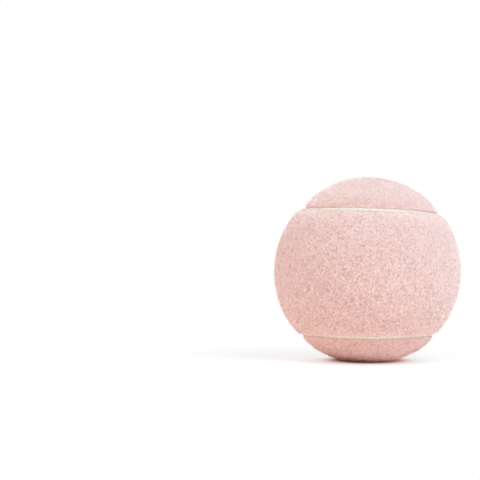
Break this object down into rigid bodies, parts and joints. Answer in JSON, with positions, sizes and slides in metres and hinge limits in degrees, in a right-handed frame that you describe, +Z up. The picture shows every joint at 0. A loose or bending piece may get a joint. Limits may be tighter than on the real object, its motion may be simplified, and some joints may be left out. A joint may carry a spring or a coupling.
{
  "type": "dog ball",
  "caption": "Hollow felt-covered ball for fetch: bonded rubber core, wrapped dumbbell felt panels and a sunken cement seam.",
  "frame": {"origin": "centre of the ball", "axes": "+Z up as the ball lies in the picture, through the middle of the back panel's top lobe; -Y is the way the front panel's waist faces, towards the viewer; +X to the viewer's right"},
  "size_m": [0.065, 0.065, 0.065],
  "materials": {
    "core_rubber": "matt moulded rubber",
    "core_cement": "cured rubber cement",
    "pink_felt": "raised wool felt nap",
    "seam_cement": "matt cured cement"
  },
  "bodies": {
    "root": {"core_half_shell_upper": "core_rubber", "core_half_shell_lower": "core_rubber", "core_bond_ring": "core_cement", "felt_panel_front": "pink_felt", "felt_panel_back": "pink_felt", "seam_strip": "seam_cement"}
  },
  "joints": []
}
